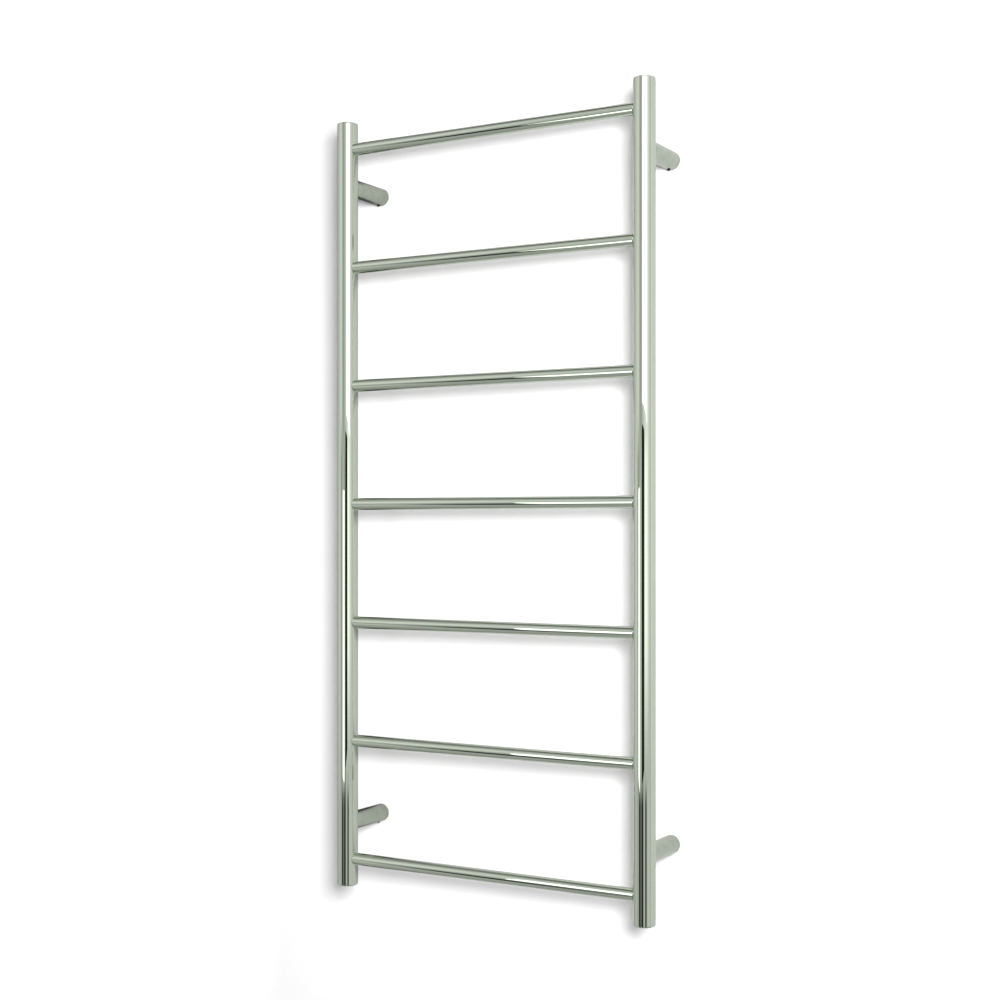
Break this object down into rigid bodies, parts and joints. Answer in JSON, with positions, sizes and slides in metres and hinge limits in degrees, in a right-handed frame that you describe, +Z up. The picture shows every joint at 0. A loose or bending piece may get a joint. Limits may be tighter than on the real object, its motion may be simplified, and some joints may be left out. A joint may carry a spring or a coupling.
{
  "type": "wall-mounted heated towel ladder",
  "caption": "Tall polished steel towel warmer: two round uprights joined by evenly spaced round bars, held off the wall on short round posts.",
  "frame": {"origin": "on the wall plane, in the middle of the four posts", "axes": "+X along the wall to the right as seen from the room, +Y into the wall, +Z up"},
  "size_m": [0.5, 0.1377, 1.1],
  "materials": {
    "polished_steel": "mirror-polished stainless steel with fine polishing lines along the tube",
    "black_steel": "black oxide, satin",
    "turned_steel": "turned stainless steel, satin with fine tool marks",
    "zinc_plate": "zinc-plated steel, satin",
    "brass": "plain brass, satin",
    "cable_jacket": "red-brown silicone rubber, matte",
    "lead_jacket": "black rubber, matte",
    "shrink_sleeve": "black heat-shrink sleeve, matte",
    "cutout_body": "cream moulded plastic, matte",
    "earth_jacket": "green and yellow wire insulation, matte",
    "bush_plastic": "white moulded nylon, matte"
  },
  "bodies": {
    "wall_fixings": {"spigot_top_left": "turned_steel", "spigot_top_right": "turned_steel", "spigot_bottom_left": "turned_steel", "spigot_bottom_right": "turned_steel", "wall_screw_top_left": "zinc_plate", "wall_screw_top_right": "zinc_plate", "wall_screw_bottom_left": "zinc_plate", "wall_screw_bottom_right": "zinc_plate", "lead_bush": "bush_plastic"},
    "ladder": {"left_upright": "polished_steel", "right_upright": "polished_steel", "bar_1": "polished_steel", "bar_2": "polished_steel", "bar_3": "polished_steel", "bar_4": "polished_steel", "bar_5": "polished_steel", "bar_6": "polished_steel", "bar_7": "polished_steel", "cap_top_left": "polished_steel", "cap_top_right": "polished_steel", "cap_bottom_left": "polished_steel", "cap_bottom_right": "polished_steel", "post_top_left": "polished_steel", "post_top_right": "polished_steel", "post_bottom_left": "polished_steel", "post_bottom_right": "polished_steel", "heating_cable": "cable_jacket", "cable_end_seal": "shrink_sleeve", "supply_lead": "lead_jacket", "link_lead": "lead_jacket", "thermal_cutout": "cutout_body", "splice_sleeve": "shrink_sleeve", "earth_stud": "brass", "earth_lug": "brass", "earth_nut": "brass", "earth_wire": "earth_jacket"},
    "set_screw_top_left": {"set_screw_top_left": "black_steel"},
    "set_screw_top_right": {"set_screw_top_right": "black_steel"},
    "set_screw_bottom_left": {"set_screw_bottom_left": "black_steel"},
    "set_screw_bottom_right": {"set_screw_bottom_right": "black_steel"}
  },
  "joints": [
    {"name": "ladder_lift_off", "type": "slide", "parent": "wall_fixings", "child": "ladder", "axis": [0, -1, 0], "range_m": [0, 0.018]},
    {"name": "set_screw_top_left_travel", "type": "slide", "parent": "ladder", "child": "set_screw_top_left", "axis": [0, 0, -1], "range_m": [0, 0.003]},
    {"name": "set_screw_top_right_travel", "type": "slide", "parent": "ladder", "child": "set_screw_top_right", "axis": [0, 0, -1], "range_m": [0, 0.003]},
    {"name": "set_screw_bottom_left_travel", "type": "slide", "parent": "ladder", "child": "set_screw_bottom_left", "axis": [0, 0, -1], "range_m": [0, 0.003]},
    {"name": "set_screw_bottom_right_travel", "type": "slide", "parent": "ladder", "child": "set_screw_bottom_right", "axis": [0, 0, -1], "range_m": [0, 0.003]}
  ]
}
